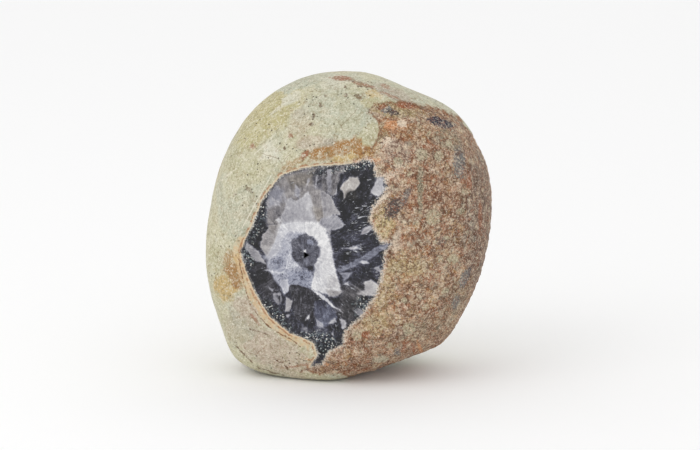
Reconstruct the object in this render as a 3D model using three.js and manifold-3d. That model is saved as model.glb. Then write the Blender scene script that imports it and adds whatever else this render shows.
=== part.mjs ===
// Half of a geode: a rounded boulder whose front was sawn off and polished flat.
// The stone is one solid: a thin skin, its brown inside and the quartz that fills its middle grew together.
// Millimetres, +Z up. The polished face is vertical and looks along -Y. The stone stands on a ground flat.
// The origin is the centre of the bounding box, at its base.
import * as THREE from "three";
import { mergeVertices } from "three/addons/utils/BufferGeometryUtils.js";
import Module from "manifold-3d";

// Everything is measured from the boulder's heart, the middle of its widest section.
// That section's plane looks along GIRTH_AXIS: it is turned about Z, and leans back.
const GIRTH_TURN = THREE.MathUtils.degToRad(10);
const GIRTH_LEAN = THREE.MathUtils.degToRad(12);

// The widest section's outline (right, up), anticlockwise from its right-hand side, as seen from the front.
const GIRTH_OUTLINE = [
  [88, 8], [84, 40], [66, 69], [38, 84], [6, 95], [-26, 92],
  [-56, 75], [-77, 45], [-87, 8], [-88, -30], [-80, -62], [-68, -85],
  [-36, -95], [2, -92], [38, -82], [61, -69], [80, -32],
];

// The polished face: how far it is in front of the heart, its middle (x, z), and its outline. The flank runs
// back from each of its points to the widest section's point of the same number.
const FACE_SETBACK = 50;
const FACE_CENTRE = [-3, -9];
const FACE_OUTLINE = [
  [53, -2], [54, 20], [44, 42], [24, 54], [4, 55], [-18, 51],
  [-38, 41], [-52, 25], [-60, 4], [-59, -20], [-52, -42], [-38, -59],
  [-16, -72], [6, -73], [26, -62], [41, -44], [50, -24],
];

const EDGE_DROP = THREE.MathUtils.degToRad(24); // how steeply the surface leaves the polished face
const EDGE_PULL = 0.42; // how far it goes on that way, as a share of the way to the widest section
const SHOULDER_PULL = 0.45; // how long it then runs straight back into the widest section
const BACK_DEPTH = 64; // from the heart to the back pole, along the girth's axis
const BACK_FULLNESS = 0.62; // 0.55 makes the back a plain ellipsoid, and more makes it squarer
const FOOT_FULLNESS = 0.33; // added to that underneath, so that the ground flat reaches well back
const LUMP_HEIGHT = 1.6; // natural rise and fall of the skin

const BASE_LEVEL = -91; // height of the ground flat, from the heart

// A small three-sided cavity where the crystals never met.
const PIT_CENTRE = [-18.5, -9];
const PIT_RADIUS = 2.1;
const PIT_DEPTH = 6;

const SECTORS = 72;
const FRONT_RINGS = 10; // from the edge of the polished face to the widest section
const BACK_RINGS = 14; // from there to the back pole

const GIRTH_RIGHT = new THREE.Vector3(Math.cos(GIRTH_TURN), Math.sin(GIRTH_TURN), 0);
const GIRTH_AXIS = new THREE.Vector3(
  Math.sin(GIRTH_TURN) * Math.cos(GIRTH_LEAN),
  -Math.cos(GIRTH_TURN) * Math.cos(GIRTH_LEAN),
  Math.sin(GIRTH_LEAN),
);
const GIRTH_UP = new THREE.Vector3().crossVectors(GIRTH_AXIS, GIRTH_RIGHT);
const BACKWARDS = new THREE.Vector3(0, 1, 0);

// A point on a smooth closed curve through an outline's points. The share goes from 0 to 1 round the curve.
function outlinePoint(outline, share) {
  const turn = share * outline.length;
  const i = Math.floor(turn);
  const t = turn - i;
  const [a, b, c, d] = [-1, 0, 1, 2].map((k) => outline[(i + k + outline.length) % outline.length]);
  return [0, 1].map((k) => {
    const bend = 2 * a[k] - 5 * b[k] + 4 * c[k] - d[k];
    const twist = 3 * (b[k] - c[k]) + d[k] - a[k];
    return b[k] + 0.5 * t * (c[k] - a[k] + t * (bend + t * twist));
  });
}

function girthPoint(share) {
  const [right, up] = outlinePoint(GIRTH_OUTLINE, share);
  return new THREE.Vector3().addScaledVector(GIRTH_RIGHT, right).addScaledVector(GIRTH_UP, up);
}

function facePoint(share) {
  const [x, z] = outlinePoint(FACE_OUTLINE, share);
  return new THREE.Vector3(x, -FACE_SETBACK, z);
}

// The curve down the flank, from the polished face's edge to the widest section.
function frontMeridian(share) {
  const start = facePoint(share);
  const end = girthPoint(share);
  const length = start.distanceTo(end);
  const leaving = start
    .clone()
    .sub(new THREE.Vector3(FACE_CENTRE[0], -FACE_SETBACK, FACE_CENTRE[1]))
    .normalize()
    .multiplyScalar(Math.cos(EDGE_DROP))
    .addScaledVector(BACKWARDS, Math.sin(EDGE_DROP));
  return new THREE.CubicBezierCurve3(
    start,
    start.clone().addScaledVector(leaving, EDGE_PULL * length),
    end.clone().addScaledVector(GIRTH_AXIS, SHOULDER_PULL * length),
    end,
  );
}

// The curve round the back, from the widest section to the back pole.
function backMeridian(share) {
  const start = girthPoint(share);
  const pole = GIRTH_AXIS.clone().multiplyScalar(-BACK_DEPTH);
  const under = Math.max(0, -start.z / start.length());
  const fullness = BACK_FULLNESS + FOOT_FULLNESS * under ** 2;
  return new THREE.CubicBezierCurve3(
    start,
    start.clone().addScaledVector(GIRTH_AXIS, -fullness * BACK_DEPTH),
    pole.clone().addScaledVector(start, fullness),
    pole,
  );
}

// Rise and fall of the skin at a point: slow waves that cross each other.
function lump(p) {
  return (
    LUMP_HEIGHT *
    (Math.sin(0.062 * p.x + 0.031 * p.z + 1.3) * Math.sin(0.055 * p.y - 0.024 * p.x + 0.4) +
      0.6 * Math.sin(0.083 * p.z - 0.047 * p.y + 2.1))
  );
}

// A point of the skin. It rises and falls least at the two sections that shape it.
function skinPoint(curve, t, lumpiness) {
  const p = curve.getPoint(t);
  return p.addScaledVector(p.clone().normalize(), lump(p) * lumpiness);
}

function boulder() {
  const points = [new THREE.Vector3(FACE_CENTRE[0], -FACE_SETBACK, FACE_CENTRE[1])];
  const rings = FRONT_RINGS + BACK_RINGS;
  for (let ring = 0; ring < rings; ring++) {
    const front = ring < FRONT_RINGS;
    const t = front ? ring / FRONT_RINGS : (ring - FRONT_RINGS) / BACK_RINGS;
    for (let sector = 0; sector < SECTORS; sector++) {
      const share = sector / SECTORS;
      points.push(
        front
          ? skinPoint(frontMeridian(share), t, Math.sin(Math.PI * t))
          : skinPoint(backMeridian(share), t, Math.sin((Math.PI / 2) * t)),
      );
    }
  }
  points.push(skinPoint(backMeridian(0), 1, 1));

  const at = (ring, sector) => 1 + ring * SECTORS + (sector % SECTORS);
  const last = points.length - 1;
  const index = [];
  for (let sector = 0; sector < SECTORS; sector++) {
    index.push(0, at(0, sector), at(0, sector + 1));
    for (let ring = 0; ring < rings - 1; ring++) {
      const [a, b] = [at(ring, sector), at(ring, sector + 1)];
      const [c, d] = [at(ring + 1, sector), at(ring + 1, sector + 1)];
      index.push(a, c, d, a, d, b);
    }
    index.push(last, at(rings - 1, sector + 1), at(rings - 1, sector));
  }
  const geometry = new THREE.BufferGeometry().setFromPoints(points);
  geometry.setIndex(index);
  return geometry;
}

// Everything below the ground flat.
function belowBase() {
  const size = 400;
  return new THREE.BoxGeometry(size, size, size).translate(0, 0, BASE_LEVEL - size / 2);
}

// The cavity: a three-sided pyramid with one corner on the right. Its apex is in the stone, and its wide end
// stands a little out of the face, so that the cut is clean.
function pit() {
  const past = 1;
  const height = PIT_DEPTH + past;
  const [x, z] = PIT_CENTRE;
  const radius = PIT_RADIUS * (height / PIT_DEPTH);
  const pyramid = new THREE.ConeGeometry(radius, height, 3, 1, false, Math.PI / 2);
  return pyramid.translate(x, PIT_DEPTH - FACE_SETBACK - height / 2, z);
}

const wasm = await Module();
wasm.setup();

function solid(geometry) {
  const bare = geometry.clone();
  bare.deleteAttribute("normal");
  bare.deleteAttribute("uv");
  const merged = mergeVertices(bare, 1e-3);
  return new wasm.Manifold(
    new wasm.Mesh({
      numProp: 3,
      vertProperties: merged.getAttribute("position").array,
      triVerts: new Uint32Array(merged.index.array),
    }),
  );
}

function geometryOf(manifold) {
  const mesh = manifold.getMesh();
  const geometry = new THREE.BufferGeometry();
  geometry.setAttribute("position", new THREE.BufferAttribute(new Float32Array(mesh.vertProperties), 3));
  geometry.setIndex(new THREE.BufferAttribute(new Uint32Array(mesh.triVerts), 1));
  geometry.computeVertexNormals();
  return geometry;
}

const stone = geometryOf(solid(boulder()).subtract(solid(belowBase())).subtract(solid(pit())));
stone.computeBoundingBox();
const { min, max } = stone.boundingBox;

const geodeHalf = new THREE.Mesh(
  stone,
  new THREE.MeshStandardMaterial({ color: 0xb9ad8c, roughness: 0.75, metalness: 0 }),
);
geodeHalf.name = "geode_half";
geodeHalf.position.set(-(min.x + max.x) / 2, -(min.y + max.y) / 2, -min.z);

const part = new THREE.Group();
part.add(geodeHalf);

export default part;
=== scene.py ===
# Half of a geode: a pale-skinned boulder with one side sawn off and polished,
# through the quartz in its middle.
# The whole stone is one closed mesh, and it stands in for the CAD solid of the same shape.
import math

import bpy
import numpy as np
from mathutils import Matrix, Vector, noise


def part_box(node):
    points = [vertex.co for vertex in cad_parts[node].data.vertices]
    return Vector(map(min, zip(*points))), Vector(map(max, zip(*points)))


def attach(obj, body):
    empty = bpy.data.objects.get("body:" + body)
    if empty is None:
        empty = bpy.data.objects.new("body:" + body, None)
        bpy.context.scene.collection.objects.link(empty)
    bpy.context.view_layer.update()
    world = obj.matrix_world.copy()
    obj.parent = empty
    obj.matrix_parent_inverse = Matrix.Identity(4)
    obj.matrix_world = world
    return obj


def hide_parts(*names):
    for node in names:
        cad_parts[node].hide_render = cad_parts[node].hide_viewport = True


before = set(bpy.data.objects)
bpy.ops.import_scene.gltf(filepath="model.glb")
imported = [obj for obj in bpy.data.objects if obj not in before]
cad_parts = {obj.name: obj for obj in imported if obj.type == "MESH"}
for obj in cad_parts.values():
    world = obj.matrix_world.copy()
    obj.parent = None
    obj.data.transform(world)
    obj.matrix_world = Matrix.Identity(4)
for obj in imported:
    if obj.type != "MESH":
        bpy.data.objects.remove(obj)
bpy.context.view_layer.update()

cad_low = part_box("geode_half")[0]

# ----------------------------------------------------------------------------------------------------
# The stone's form, in millimetres from the boulder's heart, the middle of its widest section.

MM = 0.001
GIRTH_TURN = math.radians(10)  # the widest section's plane is turned about Z
GIRTH_LEAN = math.radians(12)  # and leans back
GIRTH_RIGHT = np.array([math.cos(GIRTH_TURN), math.sin(GIRTH_TURN), 0])
GIRTH_AXIS = np.array([
    math.sin(GIRTH_TURN) * math.cos(GIRTH_LEAN),
    -math.cos(GIRTH_TURN) * math.cos(GIRTH_LEAN),
    math.sin(GIRTH_LEAN),
])
GIRTH_UP = np.cross(GIRTH_AXIS, GIRTH_RIGHT)
BACKWARDS = np.array([0, 1, 0])

# The widest section's outline (right, up), anticlockwise from its right-hand side, as seen from the front.
GIRTH_OUTLINE = [
    (88, 8), (84, 40), (66, 69), (38, 84), (6, 95), (-26, 92),
    (-56, 75), (-77, 45), (-87, 8), (-88, -30), (-80, -62), (-68, -85),
    (-36, -95), (2, -92), (38, -82), (61, -69), (80, -32),
]
FACE_SETBACK = 50  # the polished face is this far in front of the heart
FACE_CENTRE = (-3, -9)
FACE_OUTLINE = [
    (53, -2), (54, 20), (44, 42), (24, 54), (4, 55), (-18, 51),
    (-38, 41), (-52, 25), (-60, 4), (-59, -20), (-52, -42), (-38, -59),
    (-16, -72), (6, -73), (26, -62), (41, -44), (50, -24),
]
EDGE_DROP = math.radians(24)  # how steeply the surface leaves the polished face
EDGE_PULL = 0.42
SHOULDER_PULL = 0.45
BACK_DEPTH = 64
BACK_FULLNESS = 0.62
FOOT_FULLNESS = 0.33
LUMP_HEIGHT = 1.6
BASE_LEVEL = -91  # the ground flat
BASE_ROUNDING = 1.6  # how gently the flanks run into it

PIT_CENTRE = (-18.5, -9)  # a three-sided cavity in the polished face
PIT_RADIUS = 2.1
PIT_DEPTH = 6

SECTORS = 480
PIT_RINGS = 4
FACE_RINGS = 88
FRONT_RINGS = 46
BACK_RINGS = 56


def on_outline(outline, shares):
    """Points on a smooth closed curve through an outline's points, at shares from 0 to 1 round it."""
    turn = np.asarray(shares) * len(outline)
    i = np.floor(turn).astype(int)
    t = (turn - i)[:, None]
    corners = np.array(outline, float)
    a, b, c, d = (np.take(corners, i + k, axis=0, mode="wrap") for k in (-1, 0, 1, 2))
    return b + 0.5 * t * (c - a + t * (2 * a - 5 * b + 4 * c - d + t * (3 * (b - c) + d - a)))


def bezier(t, start, first, second, end):
    return (1 - t) ** 3 * start + 3 * t * (1 - t) ** 2 * first + 3 * t**2 * (1 - t) * second + t**3 * end


def lump(points):
    """Natural rise and fall of the skin: slow waves that cross each other."""
    x, y, z = points.T
    across = np.sin(0.062 * x + 0.031 * z + 1.3) * np.sin(0.055 * y - 0.024 * x + 0.4)
    return LUMP_HEIGHT * (across + 0.6 * np.sin(0.083 * z - 0.047 * y + 2.1))


def lumpy(points, share):
    outward = points / np.linalg.norm(points, axis=1, keepdims=True)
    return points + outward * (lump(points) * share)[:, None]


def stone_rings():
    """The rings of points from the cavity's apex, over the polished face and the flanks, to the back pole."""
    shares = np.arange(SECTORS) / SECTORS
    face_x, face_z = on_outline(FACE_OUTLINE, shares).T
    rim = np.stack([face_x, np.full(SECTORS, -FACE_SETBACK), face_z], 1)
    centre = np.array([FACE_CENTRE[0], -FACE_SETBACK, FACE_CENTRE[1]])
    girth = on_outline(GIRTH_OUTLINE, shares) @ np.array([GIRTH_RIGHT, GIRTH_UP])

    # The cavity's mouth is a triangle with one corner on the right,
    # met by the rays from its middle to the rim.
    pit = np.array([PIT_CENTRE[0], -FACE_SETBACK, PIT_CENTRE[1]])
    ray = rim - pit
    ray /= np.linalg.norm(ray, axis=1, keepdims=True)
    from_side = (np.arctan2(ray[:, 2], ray[:, 0]) % math.radians(120)) - math.radians(60)
    mouth = pit + ray * (PIT_RADIUS / 2 / np.cos(from_side))[:, None]
    apex = pit + PIT_DEPTH * BACKWARDS
    rings = [apex + (mouth - apex) * ring / PIT_RINGS for ring in range(1, PIT_RINGS)]
    rings += [mouth + (rim - mouth) * ring / FACE_RINGS for ring in range(FACE_RINGS)]

    radial = (rim - centre) / np.linalg.norm(rim - centre, axis=1, keepdims=True)
    leaving = radial * math.cos(EDGE_DROP) + BACKWARDS * math.sin(EDGE_DROP)
    length = np.linalg.norm(girth - rim, axis=1, keepdims=True)
    shoulder = girth + GIRTH_AXIS * SHOULDER_PULL * length
    for ring in range(FRONT_RINGS):
        t = ring / FRONT_RINGS
        curve = bezier(t, rim, rim + leaving * EDGE_PULL * length, shoulder, girth)
        rings.append(lumpy(curve, math.sin(math.pi * t)))

    pole = GIRTH_AXIS * -BACK_DEPTH
    under = np.maximum(0, -girth[:, 2] / np.linalg.norm(girth, axis=1))
    fullness = (BACK_FULLNESS + FOOT_FULLNESS * under**2)[:, None]
    for ring in range(BACK_RINGS):
        t = ring / BACK_RINGS
        curve = bezier(t, girth, girth - GIRTH_AXIS * fullness * BACK_DEPTH, pole + girth * fullness, pole)
        rings.append(lumpy(curve, math.sin(math.pi / 2 * t)))
    return apex, rings, lumpy(pole[None], 1)[0]


def on_ground_flat(points):
    """The points with all below the ground flat raised to it, and a small rounding where they meet it."""
    above = points[:, 2] - BASE_LEVEL
    eased = (above + BASE_ROUNDING) ** 2 / (4 * BASE_ROUNDING)
    raised = points.copy()
    raised[:, 2] = BASE_LEVEL + np.where(
        above > BASE_ROUNDING, above, np.where(above < -BASE_ROUNDING, 0, eased),
    )
    return raised


def stone_faces(rings):
    """Quads between rings, and a fan of triangles at each end."""
    at = 1 + np.arange(rings * SECTORS).reshape(rings, SECTORS)
    beside = np.roll(at, -1, 1)
    quads = np.stack([at[:-1], at[1:], beside[1:], beside[:-1]], 2).reshape(-1, 4)
    apex_fan = np.stack([np.zeros(SECTORS, int), at[0], beside[0]], 1)
    pole_fan = np.stack([np.full(SECTORS, rings * SECTORS + 1), beside[-1], at[-1]], 1)
    return apex_fan.tolist() + quads.tolist() + pole_fan.tolist()


apex, rings, pole = stone_rings()
heart_points = on_ground_flat(np.vstack([apex[None], *rings, pole[None]]))
ring_of = np.concatenate([[0], np.repeat(np.arange(1, len(rings) + 1), SECTORS), [len(rings) + 1]])
on_face = (ring_of >= PIT_RINGS) & (ring_of <= PIT_RINGS + FACE_RINGS)

# The row frame has its origin at the middle of the bounding box, at its base.
middle_x = (heart_points[:, 0].min() + heart_points[:, 0].max()) / 2
HEART = np.array([-middle_x, cad_low.y / MM + FACE_SETBACK, -BASE_LEVEL])

# ----------------------------------------------------------------------------------------------------
# Where things are on the stone. Outlines are drawn on the plane of the widest section, (right, up), in
# millimetres from the heart, and fall on the surface in front of it.

QUARTZ_EDGE = [
    (-42, 30), (-27, 35), (0, 37), (11, 40), (15, 37), (16, 30), (20, 29), (23, 24), (21, 19), (14, 11),
    (12, 4), (16, -5), (19, -10), (25, -11), (21, -17), (20, -30), (16, -42), (7, -56), (-3, -65),
    (-4, -73), (-13, -78), (-17, -86), (-25, -87), (-20, -80), (-22, -72), (-37, -66), (-49, -56),
    (-58, -42), (-64, -27), (-67, -16), (-59, 2), (-52, 18),
]

# Where the skin is gone and the brown rock shows.
BARE_EDGE = [
    (5, 42), (9, 45), (16, 49), (18, 56), (17, 64), (10, 68), (15, 74), (37, 76), (40, 73), (57, 71),
    (66, 67), (74, 57), (95, 50), (105, -20), (85, -65), (55, -96), (25, -104), (1, -95), (-5, -91.5),
    (-20, -90.5), (-31, -90), (-23, -87), (-19, -82), (-9, -65), (-3, -15), (-3, 31),
]
BARE_REACH_BACK = 24  # how far the bare rock goes round behind the widest section


def rounded(*corners):
    """An outline that runs smoothly through its corners."""
    return on_outline(corners, np.linspace(0, 1, 8 * len(corners), endpoint=False)).tolist()


def lobed(right, up, half_width, half_height, lobes, depth):
    """The outline of a flower of rounded lobes."""
    turns = np.linspace(0, 2 * math.pi, 12 * lobes, endpoint=False)
    reach = 1 + depth * (np.abs(np.cos(turns * lobes / 2)) - 0.6)
    return np.stack(
        [right + half_width * reach * np.cos(turns), up + half_height * reach * np.sin(turns)], 1,
    ).tolist()


# The quartz is a mosaic of crystals, later ones on top of earlier ones: (tone at its first corner and at
# the far end, from black 0 to white 1, warmth from blue -1 to brown 1, width of its edge, outline).
CRYSTALS = [
    # the glassy dark ground, in broad zones
    (0.05, 0.08, -0.3, 7, [(0, 35), (16, 36), (25, 10), (10, 7), (-4, 12)]),
    (0.1, 0.13, -0.7, 9, [(-5, -6), (17, -8), (20, -30), (10, -46), (-4, -46), (-8, -27)]),
    (0.2, 0.14, 0.4, 7, [(-6, -37), (10, -34), (11, -47), (0, -62), (-9, -56)]),
    (0.14, 0.1, 0.1, 5, [(-61, -24), (-48, -22), (-43, -42), (-53, -47)]),
    (0.12, 0.16, -0.5, 6, [(-45, -57), (-30, -58), (-10, -67), (-15, -74), (-31, -69)]),
    (0.04, 0.06, -0.2, 2.5, [(-53, 12), (-51, -3), (-55, -13), (-63, -9), (-57, 2)]),
    # the smoky zone along the upper left
    (0.5, 0.42, 0.5, 2, [
        (-43, 29), (-27, 34), (-15, 35), (-15, 17), (-24, 14), (-32, 11), (-39, 10), (-40, 0), (-51, 0),
        (-51, 14),
    ]),
    (0.36, 0.42, 1, 3, [(-39, 29), (-17, 34), (-17, 27), (-35, 22)]),
    (0.54, 0.5, -0.2, 3, [(-50, 19), (-45, 24), (-40, 21), (-41, 14), (-50, 10)]),
    (0.32, 0.38, 0.3, 3.5, [(-47, 10), (-41, 11), (-41, 5), (-46, 4)]),
    (0.66, 0.5, -0.1, 1, [(-33, 25), (-30, 21), (-31, 16), (-34, 18)]),
    (0.64, 0.5, 0, 0.8, [(-48, 17), (-44, 15), (-42, 11), (-46, 13)]),
    (0.6, 0.46, 0, 1, [(-40, 20), (-38, 15), (-40, 13)]),
    (0.22, 0.34, 0, 2, [(-20, 34), (-16, 34), (-17, 21), (-21, 22), (-23, 28)]),
    (0.24, 0.36, 0.4, 1.5, [(-15, 34), (-8, 35), (-6, 27), (-10, 17), (-16, 21)]),
    (0.56, 0.42, 0, 0.9, [(-14, 34), (-11, 34), (-11, 20), (-14, 20)]),
    (0.72, 0.6, 0, 0.5, [(-8, 24), (-8, 19), (-11, 17), (-9, 20)]),
    (0.66, 0.52, 0, 0.6, [(-26, 28), (-24, 28), (-27, 22)]),
    (0.62, 0.5, 0, 0.6, [(-21, 30), (-19, 30), (-21, 22)]),
    (0.34, 0.48, 0.4, 1, [(-10, 35), (-3, 36), (-4, 31), (-9, 31)]),
    # the light fans above the cavity
    (0.6, 0.74, 0, 1, rounded(
        (-39, 13), (-36, 17), (-33, 15), (-29, 17), (-25, 20), (-21, 9), (-20, 0), (-41, 0),
    )),
    (0.78, 0.72, 0, 0.8, [(-45, 3), (-43, 5), (-42, 3), (-43, 1)]),
    (0.48, 0.56, 0.5, 0.8, [(-25, 21), (-18, 21), (-14, 6), (-16, 1), (-20, 1)]),
    (0.44, 0.52, 1, 5, [(-22, 10), (-16, 10), (-14, 5), (-20, 4)]),
    (0.52, 0.62, 0.2, 0.6, [(-18, 21), (-15, 20), (-11, 17), (-9, 11), (-5, 6), (-10, 6), (-16, 3)]),
    (0.5, 0.68, -0.1, 0.6, rounded((-18, 3), (-10, 6), (-5, 3), (-4, -1), (-9, -3), (-18, -3))),
    # the frosted ground left of the cavity
    (0.6, 0.54, 0.4, 0.8, [(-48, 0), (-41, 1), (-50, -20), (-55, -14), (-53, -6)]),
    (0.5, 0.46, 0.6, 0.8, [(-50, 0), (-44, 0), (-47, -6)]),
    (0.72, 0.62, -0.6, 2.2, [
        (-41, 1), (-20, 0), (-34, -9), (-29, -26), (-22, -29), (-24, -38), (-38, -38), (-40, -43), (-51, -25),
        (-45, -9),
    ]),
    (0.86, 0.7, -0.3, 3, [(-42, 1), (-37, -3), (-42, -10), (-42, -15), (-50, -22), (-52, -20), (-45, -9)]),
    (0.64, 0.68, -0.5, 2.5, [(-37, -3), (-33, -3), (-38, -14), (-41, -11)]),
    (0.58, 0.66, -0.7, 2.5, [(-48, -22), (-40, -17), (-40, -30), (-47, -29)]),
    (0.82, 0.86, -0.6, 0.5, [(-38, -18), (-33, -17), (-29, -24), (-39, -27)]),
    (0.58, 0.64, -0.8, 1.4, [(-38, -28), (-24, -28), (-22, -34), (-25, -39), (-39, -36)]),
    (0.88, 0.72, -0.5, 1.2, [(-52, -27), (-40, -29), (-46, -30)]),
    (0.62, 0.76, -0.4, 0.8, [(-42, -33), (-38, -33), (-37, -40), (-40, -42), (-43, -37)]),
    # the white blade
    (0.8, 0.9, -0.2, 3, [
        (-41, 1), (-30, 2), (-20, 1), (-18, -3), (-25, -6), (-31, -4), (-36, -4), (-40, -1),
    ]),
    (0.93, 0.86, -0.1, 1.1, [
        (-27, 2), (-20, 1), (-15, -2), (-12, -10), (-9, -26), (-5, -41), (-10, -44), (-24, -39), (-21, -26),
        (-19, -17), (-22, -8), (-27, -5),
    ]),
    (0.74, 0.84, -0.2, 2, [(-22, -24), (-18, -22), (-17, -37), (-21, -35)]),
    (0.5, 0.58, 0, 0.8, [(-14, -3), (-12, -4), (-10, -17), (-11, -15)]),
    (0.8, 0.74, 0.1, 1.2, [(-14, -31), (-8, -30), (-6, -39), (-14, -39)]),
    (0.6, 0.54, 0.4, 0.8, [(-15, -39), (-5, -40), (-7, -43), (-13, -44)]),
    (0.86, 0.7, -0.2, 0.6, [(-24, -39), (-17, -42), (-9, -50), (-4, -53), (-11, -50), (-20, -42)]),
    # the dark flower round the cavity
    (0.3, 0.22, -0.4, 0.9, lobed(-27, -16, 8.5, 10, 7, 0.13)),
    (0.34, 0.26, -0.3, 0.8, rounded((-36, -11), (-34, -8), (-31, -9), (-31, -14), (-34, -16))),
    (0.22, 0.28, -0.3, 0.8, rounded((-30, -7), (-27, -5), (-25, -7), (-27, -11))),
    (0.46, 0.56, -0.8, 0.6, [(-26, -9), (-23, -9), (-22, -12), (-26, -12)]),
    (0.42, 0.3, -0.3, 0.8, [(-35, -9), (-32, -9), (-33, -12)]),
    (0.34, 0.24, -0.3, 0.8, [(-29, -7), (-27, -7), (-28, -10)]),
    (0.42, 0.34, -0.5, 1, [(-29, -21), (-24, -21), (-26, -25)]),
    # a painted highlight: a tiny white glint on the polished face just above the cavity
    (0.92, 0.84, 0, 0.5, [(-28, -15), (-27, -15), (-26, -17), (-28, -17)]),
    # loose crystals in the dark on the right
    (0.66, 0.74, 0.7, 0.7, [
        (5, 29), (6, 25), (3, 21), (-1, 19), (-4, 15), (-4, 19), (-6, 22), (-4, 25), (0, 29),
    ]),
    (0.18, 0.24, 0.8, 2.5, [(-2, 20), (4, 21), (4, 15), (-3, 16)]),
    (0.6, 0.72, 0, 0.7, [(17, 30), (21, 28), (20, 24), (22, 21), (17, 17), (12, 19), (15, 26)]),
    (0.52, 0.7, 0.1, 0.7, [(6, -6), (7, -3), (12, 0), (14, -2), (10, -5)]),
    (0.42, 0.84, 0, 1.2, [(-5, -14), (4, -13), (6, -14), (2, -15)]),
    (0.32, 0.44, -0.6, 0.6, [(-8, -27), (6, -20), (20, -11), (25, -11), (15, -19), (4, -25), (-7, -29)]),
    (0.72, 0.82, -0.2, 0.9, [(6, -23), (10, -21), (12, -23), (9, -24)]),
    (0.44, 0.64, -0.4, 0.8, [(-6, -29), (2, -29), (-4, -34)]),
    (0.66, 0.72, -0.2, 0.8, [(-4, -36), (-1, -34), (-1, -37)]),
    (0.58, 0.74, 0.3, 0.9, [(4, -42), (9, -39), (8, -35), (13, -33), (18, -37), (16, -43), (7, -43)]),
    (0.58, 0.72, 0, 0.7, [(14, -26), (18, -25), (21, -30), (17, -28)]),
    (0.56, 0.46, -0.2, 1, [(18, -14), (23, -12), (21, -16)]),
    (0.5, 0.62, 0, 1.2, [(2, -52), (7, -51), (9, -54), (6, -57)]),
    # the left corner
    (0.52, 0.64, 0.1, 0.8, [(-63, -10), (-56, -16), (-51, -24), (-58, -22), (-64, -14)]),
    (0.3, 0.4, 0.1, 2, [(-66, -16), (-60, -24), (-65, -22)]),
    # the lower part
    (0.12, 0.18, 0, 0.6, rounded(
        (-37, -37), (-27, -38), (-17, -45), (-18, -53), (-25, -59), (-33, -57), (-35, -46),
    )),
    (0.62, 0.54, 0.2, 0.8, [(-39, -44), (-35, -46), (-37, -53), (-40, -53)]),
    (0.54, 0.44, 0, 0.8, [(-47, -42), (-43, -41), (-41, -46), (-44, -49), (-47, -45)]),
    (0.1, 0.08, 0, 0.7, [(-45, -43), (-43, -43), (-43, -47)]),
    (0.18, 0.32, -0.9, 0.6, rounded((-22, -47), (-16, -46), (-8, -54), (-9, -59), (-16, -62), (-21, -57))),
    (0.86, 0.8, -0.1, 0.5, [(-28, -58), (-25, -57), (-22, -48), (-24, -54)]),
    (0.52, 0.66, -0.3, 0.9, [(-21, -57), (-17, -60), (-16, -63), (-20, -62)]),
    (0.7, 0.62, -0.1, 0.6, [(-13, -60), (-9, -56), (-8, -59), (-12, -61)]),
    (0.62, 0.74, 0, 0.7, [(-6, -57), (-3, -58), (-2, -62), (-5, -64)]),
    (0.5, 0.66, -0.2, 0.7, [(-12, -66), (-10, -64), (-10, -69)]),
    (0.48, 0.62, -0.2, 0.6, [(-50, -38), (-46, -39), (-47, -41)]),
    (0.56, 0.68, -0.1, 0.6, [(-40, -55), (-36, -54), (-38, -57)]),
    (0.4, 0.52, 0, 1.5, [(-30, -63), (-26, -62), (-26, -67)]),
]
DARK_TONE = 0.1  # the glassy quartz between them

COLOURS = {
    "ochre": (160, 112, 54),
    "amber": (196, 160, 92),
    "olive": (184, 173, 118),
    "sage": (176, 182, 164),
    "blush": (188, 168, 152),
    "mauve": (160, 140, 132),
    "chalk": (222, 218, 202),
    "peach": (208, 150, 104),
    "rust": (146, 84, 52),
    "umber": (96, 66, 44),
    "navy": (38, 44, 62),
    "slate": (116, 120, 120),
    "char": (88, 78, 74),
    "moss": (132, 128, 106),
    "straw": (196, 178, 130),
    "shell": (226, 208, 186),
    "pebble": (190, 186, 162),
}
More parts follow.
